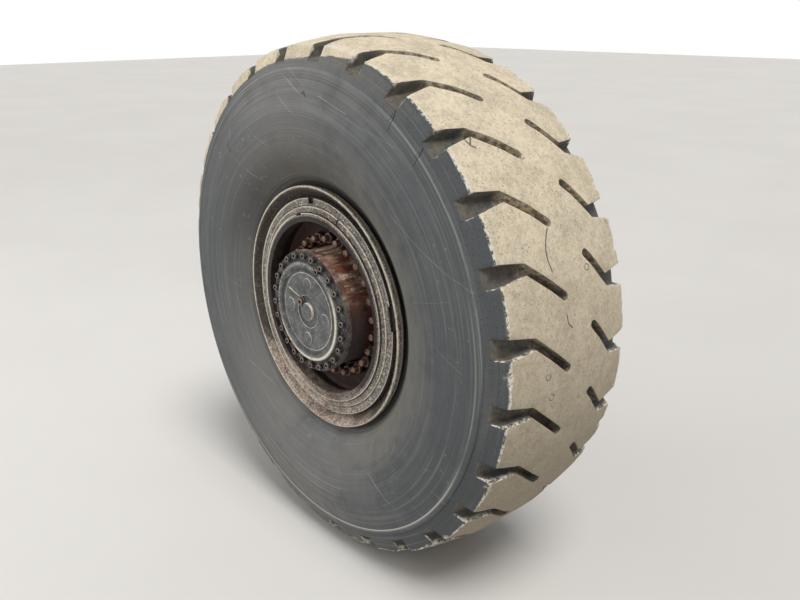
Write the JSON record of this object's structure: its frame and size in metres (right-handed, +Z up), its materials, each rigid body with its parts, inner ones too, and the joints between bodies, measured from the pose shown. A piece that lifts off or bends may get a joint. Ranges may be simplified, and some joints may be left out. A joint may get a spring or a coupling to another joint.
{
  "type": "heavy vehicle wheel end",
  "caption": "Heavy vehicle wheel end: a large lug tyre on a multi-piece rim, bolted to a planetary hub that turns on an axle spindle with a bolted mounting flange.",
  "frame": {"origin": "centre of the axle spindle's mounting face, on the wheel's axis", "axes": "+Y along the wheel's axis, from the wheel inboard to the vehicle, so the open side of the wheel looks along -Y; +Z up; +X to the right as seen from outside the vehicle"},
  "size_m": [1.6092, 0.564, 1.6106],
  "materials": {
    "tyre": "dusty black rubber",
    "outer_side_flange": "worn, rusty paint",
    "inner_side_flange": "worn, rusty paint",
    "rim_base": "chipped grey over rust",
    "bead_seat_band": "chipped grey over rust",
    "lock_ring": "chipped grey",
    "wheel_disc": "rust brown",
    "wheel_nuts": "rust brown",
    "valve_stem": "dull",
    "hub": "rust brown",
    "hub_drum": "red-brown rust",
    "hub_cover": "oily grey",
    "cover_screws": "dull",
    "oil_plug": "dull, rusty",
    "axle_spindle": "grey-brown",
    "inner_bearing": "bright",
    "outer_bearing": "bright",
    "brake_housing": "grey-brown",
    "brake_ports": "dull"
  },
  "bodies": {
    "axle": {"axle_spindle": "axle_spindle", "inner_bearing": "inner_bearing", "outer_bearing": "outer_bearing", "brake_housing": "brake_housing", "brake_ports": "brake_ports"},
    "wheel": {"tyre": "tyre", "outer_side_flange": "outer_side_flange", "inner_side_flange": "inner_side_flange", "rim_base": "rim_base", "bead_seat_band": "bead_seat_band", "lock_ring": "lock_ring", "wheel_disc": "wheel_disc", "wheel_nuts": "wheel_nuts", "valve_stem": "valve_stem", "hub": "hub", "hub_drum": "hub_drum", "hub_cover": "hub_cover", "cover_screws": "cover_screws", "oil_plug": "oil_plug"}
  },
  "joints": [
    {"name": "wheel_spin", "type": "hinge", "parent": "axle", "child": "wheel", "pos_m": [0, -0.2605, 0], "axis": [0, 1, 0], "continuous": true}
  ]
}
